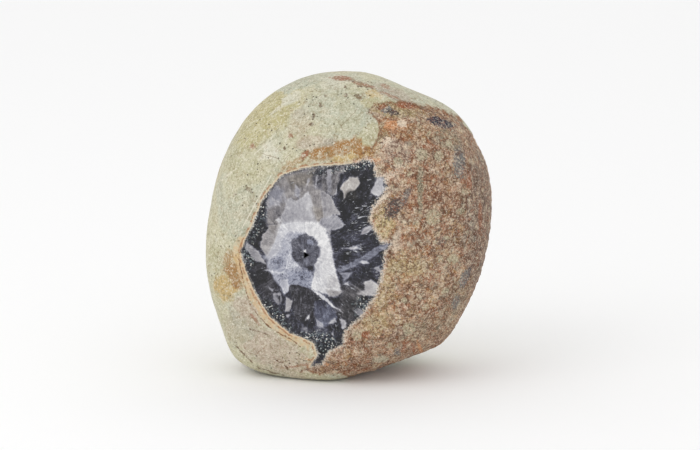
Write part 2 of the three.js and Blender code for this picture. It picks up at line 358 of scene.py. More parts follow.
# Broad stains with soft edges, and one broad patch of painted shade: (colour, strength, right, up, half
# width, half height, tilt in degrees).
SOFT_STAINS = [
    ("olive", 0.75, -50, 70, 20, 11, 35), ("olive", 0.6, -62, 55, 8, 8, 0),
    ("olive", 0.5, 20, 72, 22, 4, -10), ("olive", 0.35, 14, 54, 8, 8, 0),
    ("sage", 0.4, 2, 68, 12, 12, 0), ("sage", 0.45, -62, -6, 6, 20, -10),
    ("sage", 0.5, -34, 86, 14, 4, 20), ("sage", 0.6, 30, -92, 30, 3, 20),
    ("blush", 0.6, -24, 50, 8, 4, 10), ("blush", 0.8, -46, -78, 22, 10, -25),
    ("mauve", 0.35, -66, -62, 10, 12, 30), ("blush", 0.8, -64, -52, 6, 9, 30),
    ("blush", 0.35, -30, 62, 6, 8, 0), ("chalk", 0.6, -48, 45, 4, 6, 20),
    ("chalk", 0.45, -38, 76, 8, 4, 30), ("chalk", 0.4, -10, 88, 8, 4, 0),
    ("ochre", 1.0, -7, 46, 18, 5.0, 11), ("ochre", 1.0, 7, 46, 8, 5, 10),
    ("amber", 0.8, 0, 41, 12, 2.2, 9), ("mauve", 0.55, -15, 49.5, 6, 2.4, 10),
    ("ochre", 0.6, -33, 38, 9, 2, 27), ("peach", 0.8, 10, 38.5, 8, 1.3, 8),
    ("ochre", 0.95, -71, -30, 5, 9, 12), ("amber", 0.85, -68, -22, 3, 5, 0),
    ("amber", 0.8, -76, -38, 6, 8, 20), ("ochre", 0.7, -74, -20, 3, 4, 0),
    ("mauve", 0.5, 26, 80, 12, 3, -22), ("amber", 0.6, 15, 80, 5, 2.5, -10),
    # in the bare rock
    ("straw", 0.9, 20, 1, 5, 9, 0), ("straw", 0.6, 34, -25, 10, 7, 0),
    ("straw", 0.5, 20, -40, 6, 10, -20), ("straw", 0.55, 15, -60, 10, 6, 40),
    ("peach", 0.5, 30, 60, 8, 5, 0), ("blush", 0.6, 28, 44, 8, 7, 0), ("moss", 0.6, 60, 52, 8, 6, -20),
    ("slate", 0.5, 74, 4, 3, 14, 5), ("moss", 0.5, 66, -44, 6, 12, -20),
    # the broad charcoal patch at the right edge is painted shade: the rock darker where it turns away from
    # the light
    ("moss", 0.4, 50, -62, 14, 6, 20), ("char", 0.6, 82, 0, 12, 46, 0), ("ochre", 0.4, 40, 56, 10, 5, 0),
    ("rust", 0.35, 46, 22, 14, 10, 0),
]
# Sharp, speckled spots, laid over them, in the same way.
SHARP_STAINS = [
    ("rust", 0.9, -5, 90, 7, 1.6, -4), ("rust", 0.8, 8, 86, 8, 1.0, -14),
    ("umber", 0.7, 2, 88, 7, 0.6, -8), ("rust", 0.7, 24, 79, 6, 0.8, -20),
    ("rust", 0.8, 22, 85, 3, 1.2, -20), ("rust", 0.85, -36.5, 54.5, 1.6, 1.2, 0),
    ("rust", 0.8, -59.5, 48, 2.0, 1.6, 0), ("umber", 0.9, -40, 46.5, 0.9, 0.9, 0),
    ("rust", 0.9, -27, 42.5, 3.4, 1.8, 45), ("umber", 0.8, 5, 78, 2.4, 1.4, -40),
    ("umber", 0.85, -2.5, 79, 1, 1, 0), ("umber", 0.85, -3, 84.5, 1, 0.8, 0),
    ("umber", 0.7, -15, 79, 1.2, 1, 0), ("umber", 0.8, -18, 73, 1, 1.2, 0),
    ("umber", 0.9, -23.5, 61, 1.6, 1.2, 30), ("umber", 0.8, -22, 66, 1, 2, -30),
    ("umber", 0.7, -62, 22, 1.2, 1.4, 0), ("umber", 0.7, -60, 20, 1, 1, 0),
    ("umber", 0.7, -70, 19, 0.9, 0.9, 0), ("chalk", 0.8, -52, 42, 4, 1.2, 38),
    ("chalk", 0.6, -44, 71, 6, 1, 40), ("rust", 0.7, -30, -86, 10, 0.8, 10),
    ("peach", 0.7, -20, -84, 8, 0.8, -15), ("rust", 0.6, -58, -58, 1, 5, 40),
    # in the bare rock
    ("rust", 0.9, 34, 73.5, 6, 1.6, -4), ("rust", 0.8, 20, 72, 3, 2, 30),
    ("umber", 0.8, 44, 72, 12, 0.7, -18), ("navy", 1.0, 55.5, 63, 8, 2.8, -14),
    ("navy", 0.8, 25, 69.5, 5, 2.0, -14), ("slate", 0.9, 22, 70.5, 4, 2.4, 0),
    ("slate", 0.85, 66.5, 38, 3.6, 9, 0), ("navy", 0.6, 66, 42, 2, 4, 0),
    ("char", 1.0, 26.5, 10.5, 4.5, 7.5, -32), ("slate", 0.7, 33, 16, 2, 7, -30),
    ("shell", 0.9, 18.5, 15, 1.6, 6.5, -48), ("moss", 0.8, 42.5, 22, 1.7, 15, 0),
    ("shell", 0.95, 22, 50.5, 3.6, 2.6, 30), ("shell", 0.9, 31.5, 62, 2.6, 2.8, 0),
    ("peach", 0.9, 25, 61, 4, 2.4, 0), ("shell", 0.8, 24, 30, 5, 2.0, 20),
    ("shell", 0.6, 30, 34, 3, 3, 0), ("navy", 0.8, 73, -29, 0.9, 4, -8),
    ("slate", 0.8, 70, -33, 2.5, 6, -20), ("slate", 0.7, 65, -47, 2.5, 4, -20),
    ("rust", 0.9, 10, -67, 2.6, 2.4, 0), ("rust", 0.8, 73, 26, 1.4, 5, 0),
    ("rust", 0.7, 80, 6, 1.2, 8, 0), ("shell", 0.6, 28, -10, 2, 8, -10),
    ("slate", 0.7, 29, -78, 2.2, 2.4, 0), ("pebble", 0.8, 19, -82.5, 5, 2, 5),
    ("rust", 0.8, 40, -78, 1, 6, 20), ("peach", 0.8, 43, -76, 1, 6, 20),
    ("rust", 0.7, 34, -74, 1, 5, -30), ("char", 0.6, 56, -10, 3, 3, 0),
]
ORBS = [
    (43.5, 42.5, 4.0), (54, 42, 3.2), (71, 21, 2.9), (50.5, 4.5, 5.0), (62.6, -21, 3.4),
    (54.5, -21, 2.6), (58.6, -8, 2.2), (36, -63.5, 4.2), (4, -68, 3.2), (29, 38, 3.4), (66, 30, 1.8),
    (60, 50, 2.4), (36, 31, 2.0), (58, -40, 2.6), (24, -74, 2.2), (46, -50, 2.4), (40, -36, 1.8),
    (67, 8, 2.4), (33, -46, 2.0), (48, 56, 1.8),
]
# Where tiny crystals crowd the quartz, and where the skin is full of small dark holes.
DRUSE_PATCHES = [
    (-57, 2, 5, 17, -22), (-62, -20, 4, 8, 0), (-46, -56, 5, 14, 45), (-20, -72, 14, 8, 0), (8, -50, 6, 8, 0),
    (-1, 35, 26, 3, 8),
]
DASH_PATCHES = [(9, 8, 8, 6, 0), (8, -2, 9, 3, 10), (2, -14, 8, 3, 5), (22, -28, 5, 5, 0)]
DOTTED_PATCHES = [
    (-21, 69, 3, 12, -25), (-62, 21, 5, 6, 0), (-27, 44, 6, 3, 30), (-34, -84, 12, 4, 0), (4, 80, 12, 5, 0),
]

# Brown cracks, and one pale scratch.
CRACKS = [
    [(-70, -75), (-62, -83), (-55.5, -89), (-47, -91.5), (-41, -92.5)],
    [(-62, -64), (-55.5, -65.5), (-50.5, -67.5)],
    [(-49.5, -85), (-47, -83), (-41, -85), (-38, -89)],
    [(5, 85), (11, 84), (17, 82.5)],
]
RIM_CRACK = [
    (-66, -12), (-68, -20), (-66, -31), (-63, -42), (-60.5, -50), (-55.5, -56.5), (-50, -62), (-43, -66.5),
    (-36, -70), (-30, -74.5),
]
SCRATCHES = [[(-79, 27), (-50, 50)], [(-66, -2), (-40, 44)]]
NEVER = 99.0  # a distance that stands for nowhere near


def ripple(points, size, detail=3, seed=0):
    """Fractal noise at each point, about -1 to 1, with waves of that size."""
    shift = Vector((7.3, 1.9, 4.1)) * seed
    return np.array([noise.fractal(Vector(p) / size + shift, 1.0, 2.0, detail) for p in points])


def signed_distance(plan, outline):
    """The distance from each point to a closed outline, above zero inside it."""
    corners = np.array(outline, float)
    nearest = np.full(len(plan), np.inf)
    inside = np.zeros(len(plan), bool)
    for a, b in zip(corners, np.roll(corners, -1, 0)):
        nearest = np.minimum(nearest, line_distance(plan, a, b))
        crosses = (a[1] > plan[:, 1]) != (b[1] > plan[:, 1])
        reach = a[0] + (plan[:, 1] - a[1]) * (b[0] - a[0]) / ((b[1] - a[1]) or 1)
        inside ^= crosses & (plan[:, 0] < reach)
    return np.where(inside, nearest, -nearest)


def line_distance(plan, a, b):
    a, b = np.array(a, float), np.array(b, float)
    share = np.clip((plan - a) @ (b - a) / ((b - a) @ (b - a)), 0, 1)
    return np.linalg.norm(plan - a - share[:, None] * (b - a), axis=1)


def crack_distance(plan, cracks):
    return np.min([line_distance(plan, a, b) for crack in cracks for a, b in zip(crack, crack[1:])], axis=0)


def patch(plan, right, up, half_width, half_height, tilt):
    """How much of a soft patch each point has, from 0 to 1."""
    x, y = (plan - (right, up)).T
    turn = math.radians(tilt)
    along = (x * math.cos(turn) + y * math.sin(turn)) / half_width
    aside = (y * math.cos(turn) - x * math.sin(turn)) / half_height
    return np.exp(-0.7 * (along**2 + aside**2))


def patches(plan, spots):
    return np.max([patch(plan, *spot) for spot in spots], axis=0)


def stains(plan, spots):
    """Each point's share of the stain that shows most there, its strength, and its colour."""
    share = np.zeros(len(plan))
    strength = np.zeros(len(plan))
    colour = np.ones((len(plan), 4))
    for name, spot_strength, *place in spots:
        spot = patch(plan, *place)
        more = spot > share
        share[more] = spot[more]
        strength[more] = spot_strength
        colour[more] = tint(*COLOURS[name])
    return share * in_front, strength, colour


def crystal_tones(plan):
    """Each point's tone and warmth in the mosaic, and how deep it is in its crystal."""
    tone = np.full(len(plan), DARK_TONE)
    warmth = np.full(len(plan), -0.6)
    seam = np.full(len(plan), NEVER)
    for first_tone, far_tone, crystal_warmth, blur, outline in CRYSTALS:
        corners = np.array(outline, float)
        way = corners[len(corners) // 2] - corners[0]
        along = np.clip((plan - corners[0]) @ way / (way @ way), 0, 1)
        depth = signed_distance(plan, outline)
        cover = np.clip(depth / blur + 0.5, 0, 1)
        tone += (first_tone + (far_tone - first_tone) * along - tone) * cover
        warmth += (crystal_warmth - warmth) * cover
        seam = np.where(depth > 0, depth, seam)
    return tone, warmth, seam


def tint(red, green, blue):
    """A colour in everyday values from 0 to 255, as the linear one that a shader takes."""
    linear = [((c / 255 + 0.055) / 1.055) ** 2.4 if c > 10 else c / 255 / 12.92 for c in (red, green, blue)]
    return (*linear, 1)


def smooth_step(value, low, high):
    t = np.clip((value - low) / (high - low), 0, 1)
    return t * t * (3 - 2 * t)


plan = np.stack([heart_points @ GIRTH_RIGHT, heart_points @ GIRTH_UP], 1)
ahead = heart_points @ GIRTH_AXIS
in_front = smooth_step(ahead, 0, 12)

waver = np.stack([ripple(heart_points, 5, 3, seed) for seed in (1, 2)], 1)
quartz = np.minimum(signed_distance(plan + 0.5 * waver, QUARTZ_EDGE), ahead - 20)
bare = signed_distance(plan + 1.6 * waver, BARE_EDGE)
bare = np.minimum(bare, ahead + BARE_REACH_BACK + 9 * ripple(heart_points, 30, 3, 3))
chips = 30 * (ripple(heart_points, 34, 4, 4) - 0.62) - 12 * in_front
bare = np.maximum(bare, chips)
ragged = np.stack([ripple(heart_points, 1.8, 2, seed) for seed in (7, 8)], 1)
tone, warmth, seam = crystal_tones(plan + 0.5 * waver + 0.5 * ragged)

orb = np.full(len(plan), NEVER)
for right, up, radius in ORBS:
    orb = np.minimum(orb, np.linalg.norm(plan + 0.6 * waver - (right, up), axis=1) - radius)

soft_share, soft_strength, soft_colour = stains(plan + 1.5 * waver, SOFT_STAINS)
sharp_share, sharp_strength, sharp_colour = stains(plan + 0.5 * waver + 0.3 * ragged, SHARP_STAINS)

FIELDS = {
    "quartz": quartz,
    "bare": bare,
    "tone": tone,
    "warmth": warmth,
    "seam": seam,
    "pit": np.where(ring_of <= PIT_RINGS, 1.0, 0.0),
    "orb": np.where(ahead > 0, orb, NEVER),
    "crack": np.where(ahead > 0, crack_distance(plan + 0.7 * waver, CRACKS), NEVER),
    "rim_crack": np.where(ahead > 0, crack_distance(plan + 0.5 * waver, [RIM_CRACK]), NEVER),
    "scratch": np.where(ahead > 0, crack_distance(plan, SCRATCHES), NEVER),
    "soft": soft_share,
    "soft_strength": soft_strength,
    "sharp": sharp_share,
    "sharp_strength": sharp_strength,
    "dotted": patches(plan, DOTTED_PATCHES) * in_front,
    "druse": patches(plan, DRUSE_PATCHES),
    "dashes": patches(plan, DASH_PATCHES),
    "front": in_front,
}
COLOUR_FIELDS = {"soft_colour": soft_colour, "sharp_colour": sharp_colour}

# ----------------------------------------------------------------------------------------------------
# Relief, in millimetres along the surface's normal.

RIND_STEP = 0.8  # the bare rock lies this much below the skin
GRAIN_HEIGHT = 0.55
SKIN_SWELL = 0.35


def grains(points, size):
    """Rounded grains packed together: 1 at their middles and 0 where they meet."""
    gaps = []
    for p in points:
        distances = noise.voronoi(Vector(p) / size)[0]
        gaps.append(distances[1] - distances[0])
    return np.clip(np.array(gaps) / 0.35, 0, 1)


def relief():
    rough = smooth_step(bare, -0.6, 0.7)
    polished = on_face | (ring_of < PIT_RINGS)
    flank = smooth_step(ring_of, PIT_RINGS + FACE_RINGS, PIT_RINGS + FACE_RINGS + 5)
    standing = smooth_step(heart_points[:, 2], BASE_LEVEL, BASE_LEVEL + 3)
    swell = SKIN_SWELL * ripple(heart_points, 16, 4, 5)
    rock = GRAIN_HEIGHT * (grains(heart_points, 5.5) - 0.6) + 0.35 * ripple(heart_points, 2.6, 3, 6)
    step = -RIND_STEP * rough * (1 - smooth_step(bare, 3, 14) * 0.6)
    height = (swell + rough * rock + step) * flank * standing
    return np.where(polished, 0, height)


def build_stone():
    mesh = bpy.data.meshes.new("polished_geode_half")
    mesh.from_pydata(heart_points.tolist(), [], stone_faces(len(rings)))
    mesh.update()
    normals = np.empty(len(heart_points) * 3, np.float32)
    mesh.vertex_normals.foreach_get("vector", normals)
    shaped = heart_points + normals.reshape(-1, 3) * relief()[:, None]
    shaped[:, 2] = np.maximum(shaped[:, 2], BASE_LEVEL)
    mesh.vertices.foreach_set("co", ((shaped + HEART) * MM).ravel())
    mesh.update()
    mesh.shade_smooth()
    for name, values in FIELDS.items():
        mesh.attributes.new(name, "FLOAT", "POINT").data.foreach_set("value", values.astype(np.float32))
    for name, values in COLOUR_FIELDS.items():
        mesh.attributes.new(name, "FLOAT_COLOR", "POINT").data.foreach_set(
            "color", values.astype(np.float32).ravel(),
        )
    stone = bpy.data.objects.new("polished_geode_half", mesh)
    bpy.context.scene.collection.objects.link(stone)
    return stone


# ----------------------------------------------------------------------------------------------------
# The stone's material.


class Shading:
    """Makes nodes in a material, and gives back the sockets that carry their results."""

    def __init__(self, material):
        material.use_nodes = True
        self.tree = material.node_tree
        self.shader = self.tree.nodes["Principled BSDF"]
        here = self.add("TexCoord").outputs["Object"]
        self.place = self.vector("SCALE", here, scale=1 / MM)

    def add(self, kind, **settings):
        made = self.tree.nodes.new("ShaderNode" + kind)
        for name, value in settings.items():
            setattr(made, name, value)
        return made

    def feed(self, socket, value):
        if isinstance(value, bpy.types.NodeSocket):
            self.tree.links.new(value, socket)
        else:
            socket.default_value = value

    def field(self, name, kind="Fac"):
        return self.add("Attribute", attribute_name=name).outputs[kind]

    def math(self, operation, a, b=0.0, c=0.0):
        made = self.add("Math", operation=operation)
        for socket, value in zip(made.inputs, (a, b, c)):
            self.feed(socket, value)
        return made.outputs[0]

    def total(self, *parts):
        """The sum of (value, weight) pairs and bare values."""
        result = 0.0
        for part in parts:
            value, weight = part if isinstance(part, tuple) else (part, 1.0)
            result = self.math("MULTIPLY_ADD", value, weight, result)
        return result

    def times(self, *values):
        result = values[0]
        for value in values[1:]:
            result = self.math("MULTIPLY", result, value)
        return result

    def vector(self, operation, a, b=(0, 0, 0), scale=1.0):
        made = self.add("VectorMath", operation=operation)
        for index, value in ((0, a), (1, b), (3, scale)):
            self.feed(made.inputs[index], value)
        return made.outputs[1 if operation == "LENGTH" else 0]

    def between(self, value, low, high):
        """0 below low, 1 above high and smooth between them, or reversed where low is the higher."""
        made = self.add("MapRange", interpolation_type="SMOOTHSTEP")
        for name, number in (("Value", value), ("From Min", low), ("From Max", high)):
            self.feed(made.inputs[name], number)
        return made.outputs[0]

    def mix(self, share, a, b, blend="MIX"):
        made = self.add("Mix", data_type="RGBA", blend_type=blend)
        for index, value in ((0, share), (6, a), (7, b)):
            self.feed(made.inputs[index], value)
        return made.outputs[2]

    def ramp(self, value, stops):
        """A colour or a number for each value, from (value, colour) stops."""
        made = self.add("ValToRGB")
        self.feed(made.inputs[0], value)
        elements = made.color_ramp.elements
        while len(elements) < len(stops):
            elements.new(0.5)
        for element, (position, colour) in zip(elements, stops):
            element.position = position
            element.color = colour
        return made.outputs[0]

    def noise(self, size, detail=2.0, roughness=0.5, place=None, shift=0.0, colour=False):
        """Noise from 0 to 1 with features of that size in millimetres."""
        made = self.add("TexNoise")
        where = (
            self.vector("ADD", place or self.place, (shift, shift, shift)) if shift else place or self.place
        )
        self.feed(made.inputs["Vector"], where)
        self.feed(made.inputs["Scale"], 1 / size)
        self.feed(made.inputs["Detail"], detail)
        self.feed(made.inputs["Roughness"], roughness)
        return made.outputs[1 if colour else 0]

    def cells(self, size, place=None, feature="F1", shift=0.0):
        """Cells of about that size in millimetres: the distance in them, and a random colour for each."""
        made = self.add("TexVoronoi", feature=feature)
        where = (
            self.vector("ADD", place or self.place, (shift, shift, shift)) if shift else place or self.place
        )
        self.feed(made.inputs["Vector"], where)
        self.feed(made.inputs["Scale"], 1 / size)
        return made.outputs["Distance"], made.outputs.get("Color")

    def split(self, colour):
        return self.add_split(colour).outputs

    def add_split(self, colour):
        made = self.add("SeparateColor")
        self.feed(made.inputs[0], colour)
        return made

    def warped(self, size, reach):
        """The place, moved about by noise of that size, by up to reach millimetres."""
        centred = self.vector("SUBTRACT", self.noise(size, 2, colour=True), (0.5, 0.5, 0.5))
        return self.vector("ADD", self.place, self.vector("SCALE", centred, scale=2 * reach))

    def drawn_out(self, tilt, stretch):
        """The place, shortened along a line tilted in the polished face, so that noise makes streaks."""
        made = self.add("Mapping", vector_type="TEXTURE")
        self.feed(made.inputs["Vector"], self.place)
        self.feed(made.inputs["Rotation"], (0, -math.radians(tilt), 0))
        self.feed(made.inputs["Scale"], (stretch, 1, 1))
        return made.outputs[0]


def soft_stained(s, colour):
    """The skin's or the rock's colour with its broad stains, and the painted shade along the rock's right
    edge.
    """
    share = s.between(s.total(s.field("soft"), (s.noise(5, 5, 0.7, shift=40), 1.2)), 0.78, 1.25)
    return s.mix(s.times(share, s.field("soft_strength")), colour, s.field("soft_colour", "Color"))


def sharp_stained(s, colour):
    """The skin's or the rock's colour with its small speckled spots."""
    share = s.between(s.total(s.field("sharp"), (s.noise(1.5, 4, 0.8, shift=50), 1.7)), 1.22, 1.42)
    return s.mix(s.times(share, s.field("sharp_strength")), colour, s.field("sharp_colour", "Color"))


def veined(s, colour, veins):
    """The colour with thin wandering lines, from (size, shift, width, strength, line colour)."""
    for size, shift, width, strength, stain in veins:
        off = s.math("ABSOLUTE", s.total(s.noise(size, 4, 0.6, shift=shift), -0.5))
        broken = s.between(s.noise(7, 3, shift=shift + 7), 0.42, 0.54)
        colour = s.mix(s.times(s.between(off, width, width * 0.3), broken, strength), colour, stain)
    return colour


def skin(s):
    """The pale green natural skin: its colour and its fine height in millimetres."""
    broad = s.noise(30, 4, 0.6)
    colour = s.ramp(broad, [
        (0.34, tint(184, 180, 146)), (0.45, tint(197, 192, 162)), (0.55, tint(186, 187, 165)),
        (0.66, tint(195, 187, 162)),
    ])
    # behind, where no stains are laid, slow noise stains the skin instead
    hidden = s.math("SUBTRACT", 1.0, s.field("front"))
    for shift, stain in ((90, tint(178, 150, 100)), (120, tint(186, 168, 150)), (150, tint(176, 182, 164))):
        share = s.between(s.noise(24, 5, 0.65, shift=shift), 0.52, 0.64)
        colour = s.mix(s.times(hidden, share, 0.8), colour, stain)
    colour = sharp_stained(s, soft_stained(s, colour))

    medium = s.noise(4.0, 5, 0.7, shift=33)
    colour = s.mix(s.times(s.between(medium, 0.5, 0.64), 0.5), colour, tint(212, 208, 186))
    colour = s.mix(s.times(s.between(medium, 0.48, 0.36), 0.5), colour, tint(160, 152, 122))
    colour = veined(s, colour, (
        (5.5, 21, 0.020, 0.5, tint(230, 224, 202)),
        (4.0, 41, 0.018, 0.45, tint(142, 132, 98)),
        (8.0, 61, 0.010, 0.5, tint(150, 110, 70)),
    ))
    fine = s.noise(1.3, 4, 0.75)
    colour = s.mix(s.times(s.between(fine, 0.53, 0.65), 0.65), colour, tint(232, 228, 211))
    colour = s.mix(s.times(s.between(fine, 0.47, 0.35), 0.65), colour, tint(124, 116, 88))

    # small dark holes, crowded in a few places and rare elsewhere
    spot, random = s.cells(2.2, s.warped(1.5, 0.5))
    chosen = s.total(s.split(random)[0], (s.field("dotted"), 0.5), (s.noise(18, 2, shift=60), 0.5))
    hole = s.times(s.between(spot, 0.28, 0.16), s.between(chosen, 1.14, 1.2))
    colour = s.mix(s.times(hole, 0.85), colour, tint(74, 58, 38))

    # brown cracks that break into dots, hairlines, and pale scratches
    waver = s.total((s.noise(1.4, 3), 1.3), -0.65)
    crack = s.between(s.total(s.field("crack"), waver), 0.7, 0.15)
    crack = s.times(crack, s.between(s.noise(3.0, 2, shift=20), 0.36, 0.5))
    colour = s.mix(s.times(crack, 0.85), colour, tint(104, 70, 44))
    edge, _ = s.cells(19, s.warped(9, 3.2), "DISTANCE_TO_EDGE")
    hairline = s.times(s.between(edge, 0.016, 0.004), s.between(s.noise(21, 2, shift=10), 0.5, 0.62))
    colour = s.mix(s.times(hairline, 0.45), colour, tint(130, 92, 58))
    marks = s.noise(0.9, 2, place=s.drawn_out(42, 14))
    marks = s.times(s.between(marks, 0.6, 0.7), s.between(s.noise(14, 2, shift=70), 0.45, 0.58))
    scratch = s.between(s.total(s.field("scratch"), (s.noise(2, 2), 0.5)), 0.75, 0.4)
    colour = s.mix(
        s.math("MAXIMUM", s.times(marks, 0.6), s.times(scratch, 0.75)), colour, tint(228, 222, 204),
    )

    height = s.total(
        (fine, 0.12), (medium, 0.15), (hole, -0.35), (crack, -0.3), (hairline, -0.12), (scratch, -0.05),
    )
    return colour, height


def cream_rim(s, colour):
    """The skin's colour beside the quartz: a cream band and a broken orange-brown line round it."""
    quartz = s.total(s.field("quartz"), (s.noise(1.6, 3), 1.2), -0.6)
    beside = s.field("rim_crack")
    cream = s.between(quartz, -1.4, -0.7)
    colour = s.mix(s.times(cream, 0.7), colour, tint(212, 192, 160))
    band = s.times(s.between(quartz, -5.5, -4.0), s.between(beside, 6.5, 4.0))
    colour = s.mix(
        s.times(band, s.between(s.noise(2.0, 4, 0.7), 0.25, 0.6), 0.75), colour, tint(212, 182, 142),
    )
    line = s.times(s.between(quartz, -2.2, -1.4), s.between(quartz, -0.5, -1.1))
    line = s.times(line, s.between(s.noise(3.2, 4, 0.7, shift=30), 0.44, 0.54))
    colour = s.mix(s.times(line, 0.8), colour, tint(158, 98, 52))
    crack = s.between(s.total(beside, (s.noise(1.5, 3), 1.4), -0.7), 0.6, 0.15)
    crack = s.times(crack, s.between(s.noise(4, 3, 0.6, shift=31), 0.38, 0.5))
    return s.mix(s.times(crack, 0.9), colour, tint(116, 72, 40))


def rock(s):
    """The bare brown rock, a breccia of small clasts and round orbs: its colour and its fine height."""
    bent = s.warped(4, 2.4)
    clast, clast_random = s.cells(4.4, bent)
    clast_gap, _ = s.cells(4.4, bent, "DISTANCE_TO_EDGE")
    grain, grain_random = s.cells(1.5, s.warped(1.6, 0.9))
    clast_kind = s.split(clast_random)
    grain_kind = s.split(grain_random)
    mixed = s.total((clast_kind[0], 0.40), (grain_kind[0], 0.22), (s.noise(9, 5, 0.7), 0.38))
    colour = s.ramp(mixed, [
        (0.22, tint(98, 68, 50)), (0.36, tint(136, 102, 78)), (0.47, tint(158, 126, 100)),
        (0.57, tint(174, 146, 120)), (0.68, tint(196, 172, 144)), (0.82, tint(218, 202, 178)),
    ])
    for shift, low, strength, stain in (
        (15, 0.51, 0.65, tint(156, 92, 56)),
        (55, 0.53, 0.6, tint(182, 144, 90)),
        (75, 0.53, 0.65, tint(146, 144, 128)),
        (105, 0.55, 0.65, tint(212, 184, 162)),
    ):
        share = s.between(s.noise(5.5, 5, 0.75, shift=shift), low, low + 0.08)
        colour = s.mix(s.times(share, strength), colour, stain)
    colour = soft_stained(s, colour)

    # grains of two sizes, with pale middles and dark gaps, plainer in some places than in others
    patchy = s.between(s.noise(9, 3, shift=85), 0.36, 0.6)
    middle = s.times(s.between(clast, 0.5, 0.15), s.between(clast_kind[1], 0.3, 0.7))
    colour = s.mix(s.times(middle, 0.55), colour, tint(210, 196, 166))
    seam = s.times(s.between(clast_gap, 0.12, 0.02), patchy)
    colour = s.mix(s.times(seam, 0.7), colour, tint(100, 62, 40))
    grain_gap, _ = s.cells(2.3, s.warped(2.4, 1.3), "DISTANCE_TO_EDGE")
    colour = s.mix(s.times(s.between(grain_gap, 0.1, 0.02), 0.25), colour, tint(88, 60, 44))
    orb = s.total(s.field("orb"), (s.noise(2.4, 4, 0.7), 3.6), -1.8)
    filling = s.mix(s.noise(1.6, 4, 0.7), tint(150, 144, 112), tint(212, 206, 178))
    colour = s.mix(s.times(s.between(orb, 0.4, -0.8), 0.65), colour, filling)
    ring = s.times(s.between(orb, 1.0, 0.4), s.between(orb, -0.3, 0.2))
    colour = s.mix(s.times(ring, 0.5), colour, tint(100, 68, 46))
    colour = sharp_stained(s, colour)

    colour = veined(s, colour, (
        (3.8, 0, 0.026, 0.7, tint(90, 58, 40)),
        (2.8, 31, 0.024, 0.6, tint(178, 102, 60)),
        (4.8, 63, 0.018, 0.6, tint(228, 210, 186)),
    ))
    fine = s.noise(1.15, 4, 0.75)
    colour = s.mix(s.times(s.between(fine, 0.53, 0.64), 0.62), colour, tint(238, 222, 198))
    colour = s.mix(s.times(s.between(fine, 0.47, 0.36), 0.72), colour, tint(58, 40, 30))
    height = s.total((grain, -0.2), (seam, -0.2), (fine, 0.35))
    return colour, height


